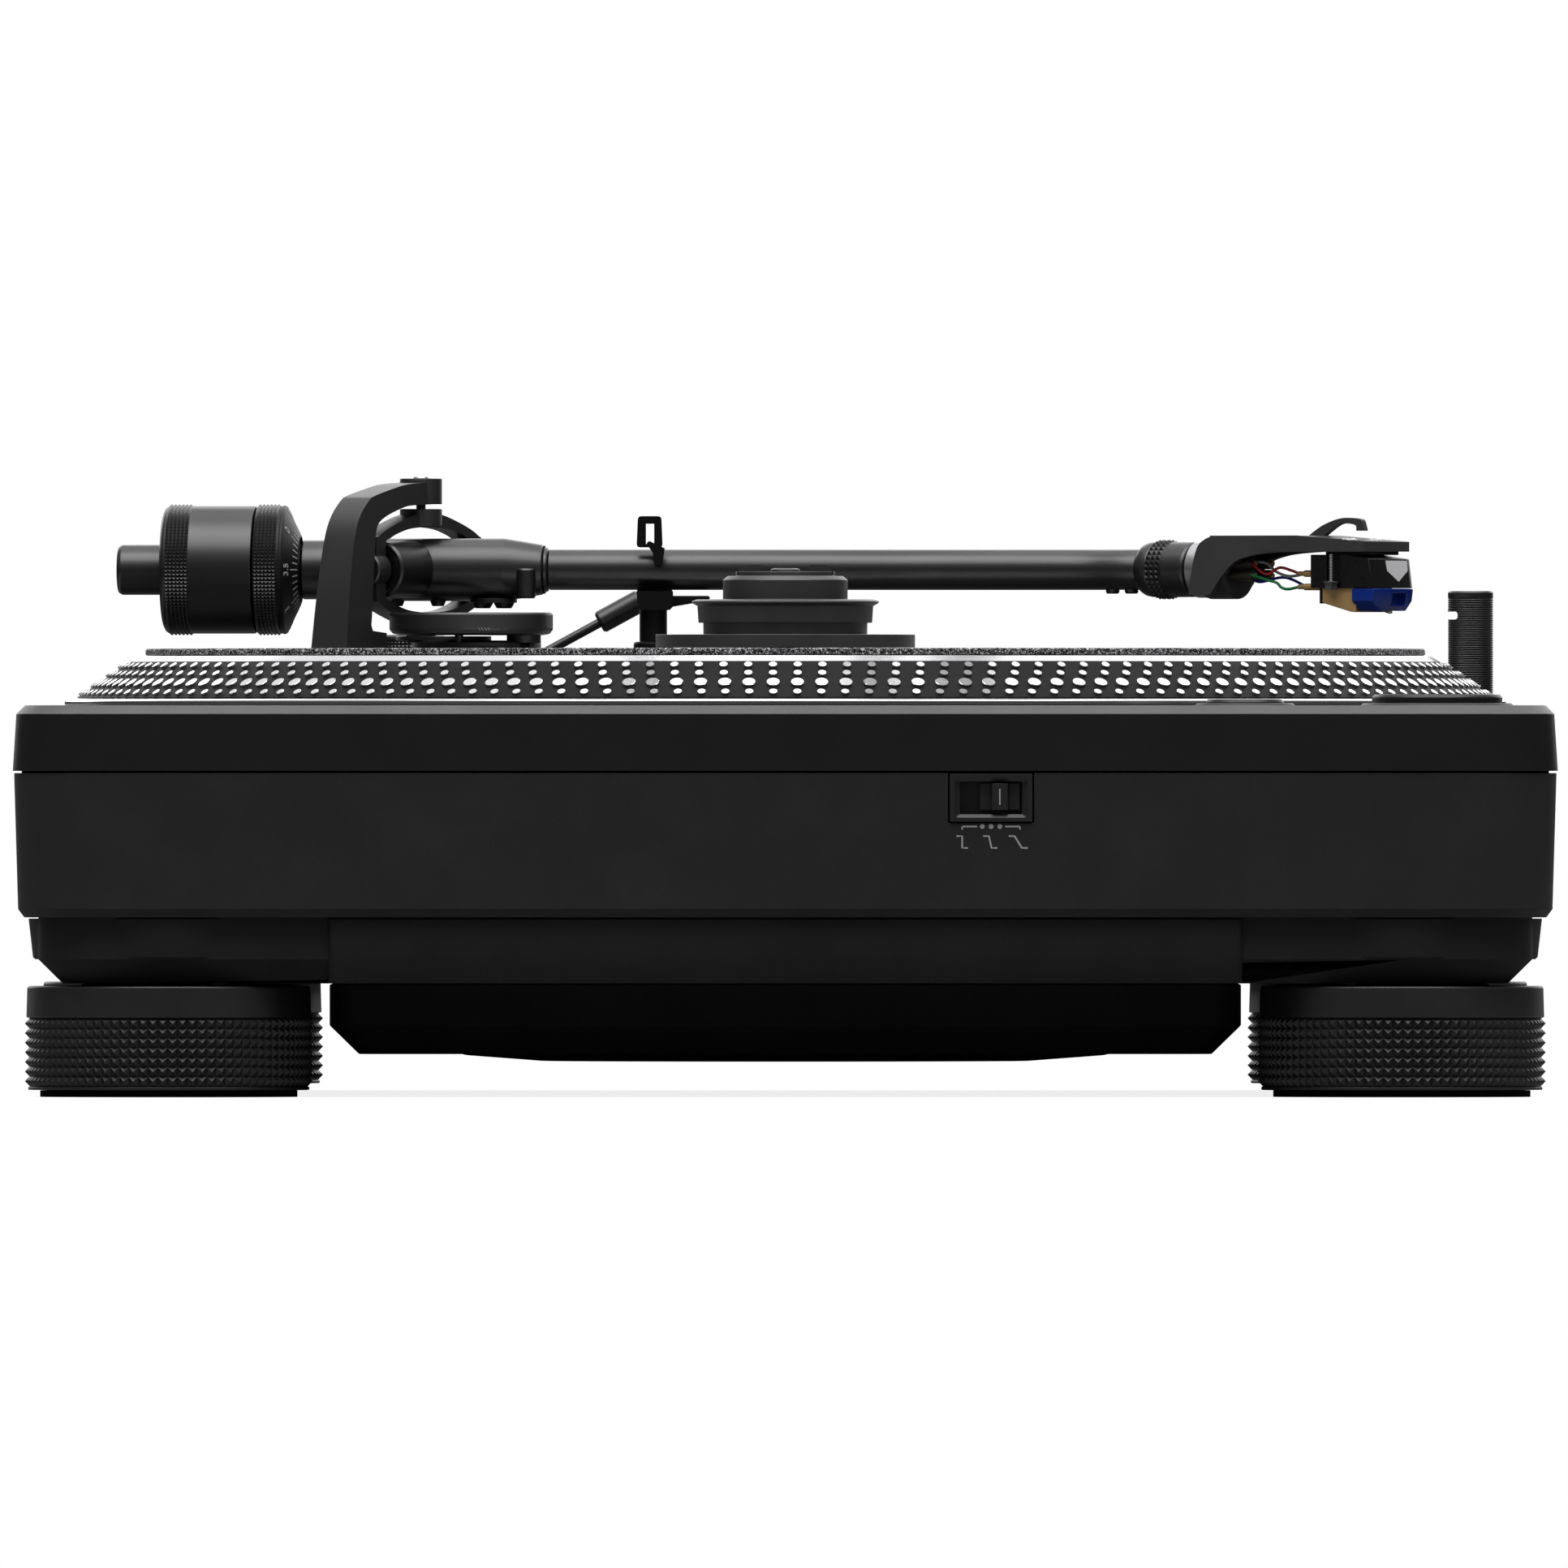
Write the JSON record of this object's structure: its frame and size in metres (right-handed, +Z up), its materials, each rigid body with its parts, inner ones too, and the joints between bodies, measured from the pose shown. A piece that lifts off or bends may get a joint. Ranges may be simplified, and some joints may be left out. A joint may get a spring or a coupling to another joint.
{
  "type": "turntable record player",
  "caption": "Direct-drive turntable: two-layer deck on turned feet, strobe-dot platter with slipmat and record clamp, S-shaped tonearm on a skewed gimbal, and side brake switch.",
  "frame": {"origin": "middle of the deck, on the surface that the feet stand on", "axes": "+X to the tonearm side, +Y to the rear, +Z up"},
  "size_m": [0.453, 0.3532, 0.1433],
  "materials": {
    "deck_black": "fine matt",
    "body_black": "matt",
    "foot_black": "satin",
    "rubber": "matt",
    "aluminium": "turned and polished",
    "steel": "satin",
    "copper": "wound wire",
    "board_green": "satin",
    "felt": "felted",
    "clamp_grey": "dark anodised",
    "arm_black": "satin black",
    "weight_metal": "satin black",
    "plastic_black": "satin",
    "gold": "satin gold",
    "stylus_blue": "satin",
    "wire_red": "smooth",
    "wire_white": "smooth",
    "wire_blue": "smooth",
    "wire_green": "smooth"
  },
  "bodies": {
    "deck": {"top_plate": "deck_black", "lower_body": "body_black", "bottom_tray": "body_black", "motor_cover": "body_black", "bearing_dish": "body_black", "bearing_housing": "steel", "motor_stator": "copper", "main_circuit_board": "board_green", "power_supply": "steel", "power_inlet": "plastic_black", "terminal_panel": "plastic_black", "pitch_fader_plate": "plastic_black", "brake_switch_bezel": "plastic_black", "light_sleeve": "plastic_black", "arm_base_housing": "arm_black"},
    "platter_unit": {"platter": "aluminium", "slipmat": "felt", "rotor_magnet": "steel", "spindle": "steel"},
    "clamp": {"record_clamp": "clamp_grey"},
    "start_button": {"start_stop_button": "clamp_grey"},
    "power_key": {"power_button": "clamp_grey"},
    "speed_key_33": {"speed_button_33": "plastic_black"},
    "speed_key_45": {"speed_button_45": "plastic_black"},
    "fader": {"pitch_fader_knob": "plastic_black"},
    "brake_slider": {"brake_switch_knob": "plastic_black"},
    "stylus_light": {"light_post": "arm_black"},
    "foot_unit_front_left": {"foot_front_left": "foot_black", "foot_pad_front_left": "rubber"},
    "foot_unit_rear_left": {"foot_rear_left": "foot_black", "foot_pad_rear_left": "rubber"},
    "foot_unit_front_right": {"foot_front_right": "foot_black", "foot_pad_front_right": "rubber"},
    "foot_unit_rear_right": {"foot_rear_right": "foot_black", "foot_pad_rear_right": "rubber"},
    "height_ring": {"arm_height_ring": "arm_black"},
    "arm_base_unit": {"arm_base": "arm_black", "arm_platform": "arm_black", "gimbal_yoke": "arm_black", "arm_rest": "arm_black"},
    "lift": {"lift_bar": "plastic_black"},
    "lever": {"cue_lever": "arm_black"},
    "anti_skate": {"anti_skate_knob": "arm_black"},
    "clip": {"arm_clip": "plastic_black"},
    "gimbal": {"gimbal_ring": "arm_black"},
    "arm": {"arm_housing": "arm_black", "arm_tube": "arm_black", "headshell": "arm_black", "cartridge_body": "plastic_black", "cartridge_bracket": "gold", "stylus_guard": "stylus_blue", "mount_screw": "gold", "lead_wire_red": "wire_red", "lead_wire_white": "wire_white", "lead_wire_blue": "wire_blue", "lead_wire_green": "wire_green"},
    "collar": {"headshell_collar": "arm_black"},
    "weight_carrier": {"weight_bush": "plastic_black"},
    "weight": {"counterweight": "weight_metal"},
    "dial": {"force_dial": "plastic_black"}
  },
  "joints": [
    {"name": "platter_spin", "type": "hinge", "parent": "deck", "child": "platter_unit", "pos_m": [-0.0465, 0, 0.1], "axis": [0, 0, -1], "continuous": true},
    {"name": "clamp_lift", "type": "slide", "parent": "platter_unit", "child": "clamp", "axis": [0, 0, 1], "range_m": [0, 0.03]},
    {"name": "start_press", "type": "slide", "parent": "deck", "child": "start_button", "axis": [0, 0, -1], "range_m": [0, 0.0015], "stiffness_N_per_m": 250, "springref_m": -0.0015},
    {"name": "power_press", "type": "slide", "parent": "deck", "child": "power_key", "axis": [0, 0, -1], "range_m": [0, 0.001], "stiffness_N_per_m": 250, "springref_m": -0.0015},
    {"name": "speed_33_press", "type": "slide", "parent": "deck", "child": "speed_key_33", "axis": [0, 0, -1], "range_m": [0, 0.0008], "stiffness_N_per_m": 250, "springref_m": -0.0015},
    {"name": "speed_45_press", "type": "slide", "parent": "deck", "child": "speed_key_45", "axis": [0, 0, -1], "range_m": [0, 0.0008], "stiffness_N_per_m": 250, "springref_m": -0.0015},
    {"name": "pitch_slide", "type": "slide", "parent": "deck", "child": "fader", "axis": [0, 1, 0], "range_m": [-0.05, 0.05]},
    {"name": "brake_slide", "type": "slide", "parent": "deck", "child": "brake_slider", "axis": [0, 1, 0], "range_m": [-0.0003, 0.0044]},
    {"name": "light_slide", "type": "slide", "parent": "deck", "child": "stylus_light", "axis": [0, 0, -1], "range_m": [0, 0.022]},
    {"name": "foot_turn_front_left", "type": "hinge", "parent": "deck", "child": "foot_unit_front_left", "pos_m": [-0.191, -0.1411, 0.01], "axis": [0, 0, 1], "range_deg": [-360, 360]},
    {"name": "foot_turn_rear_left", "type": "hinge", "parent": "deck", "child": "foot_unit_rear_left", "pos_m": [-0.191, 0.1411, 0.01], "axis": [0, 0, 1], "range_deg": [-360, 360]},
    {"name": "foot_turn_front_right", "type": "hinge", "parent": "deck", "child": "foot_unit_front_right", "pos_m": [0.191, -0.1411, 0.01], "axis": [0, 0, 1], "range_deg": [-360, 360]},
    {"name": "foot_turn_rear_right", "type": "hinge", "parent": "deck", "child": "foot_unit_rear_right", "pos_m": [0.191, 0.1411, 0.01], "axis": [0, 0, 1], "range_deg": [-360, 360]},
    {"name": "height_turn", "type": "hinge", "parent": "deck", "child": "height_ring", "pos_m": [0.151, 0.08505, 0.097], "axis": [0, 0, 1], "range_deg": [0, 120]},
    {"name": "height_slide", "type": "slide", "parent": "deck", "child": "arm_base_unit", "axis": [0, 0, 1], "range_m": [0, 0.006]},
    {"name": "lever_turn", "type": "hinge", "parent": "arm_base_unit", "child": "lever", "pos_m": [0.1875, 0.062, 0.0992], "axis": [-1, 0, 0], "range_deg": [0, 45]},
    {"name": "lift_slide", "type": "slide", "parent": "arm_base_unit", "child": "lift", "axis": [0, 0, 1], "range_m": [0, 0.0026]},
    {"name": "anti_skate_turn", "type": "hinge", "parent": "arm_base_unit", "child": "anti_skate", "pos_m": [0.187, 0.088, 0.104], "axis": [0, 0, 1], "range_deg": [0, 270]},
    {"name": "clip_flip", "type": "hinge", "parent": "arm_base_unit", "child": "clip", "pos_m": [0.1543, 0.0316, 0.121], "axis": [0, 1, 0], "range_deg": [0, 95]},
    {"name": "arm_swing", "type": "hinge", "parent": "arm_base_unit", "child": "gimbal", "pos_m": [0.151, 0.08505, 0.1216], "axis": [0, 0, 1], "range_deg": [-42, 0], "deforming": ["arm_clip"]},
    {"name": "arm_tilt", "type": "hinge", "parent": "gimbal", "child": "arm", "pos_m": [0.151, 0.08505, 0.1216], "axis": [-0.832, 0.5548, 0], "range_deg": [-1.7, 6.5]},
    {"name": "collar_turn", "type": "hinge", "parent": "arm", "child": "collar", "pos_m": [0.1442, -0.0819, 0.1216], "axis": [-0.5548, -0.832, 0], "range_deg": [0, 25]},
    {"name": "weight_slide", "type": "slide", "parent": "arm", "child": "weight_carrier", "axis": [0.0872, 0.9962, 0], "range_m": [0, 0.009]},
    {"name": "weight_turn", "type": "hinge", "parent": "weight_carrier", "child": "weight", "pos_m": [0.151, 0.08505, 0.1216], "axis": [0.0872, 0.9962, 0], "range_deg": [0, 1080]},
    {"name": "dial_turn", "type": "hinge", "parent": "weight", "child": "dial", "pos_m": [0.151, 0.08505, 0.1216], "axis": [0.0872, 0.9962, 0], "range_deg": [-180, 180]}
  ],
  "couplings": [
    {"joint": "height_turn", "follows": "height_slide", "rad_per_m": 349},
    {"joint": "lift_slide", "follows": "lever_turn", "m_per_rad": 0.00331},
    {"joint": "weight_turn", "follows": "weight_slide", "rad_per_m": 2094}
  ]
}
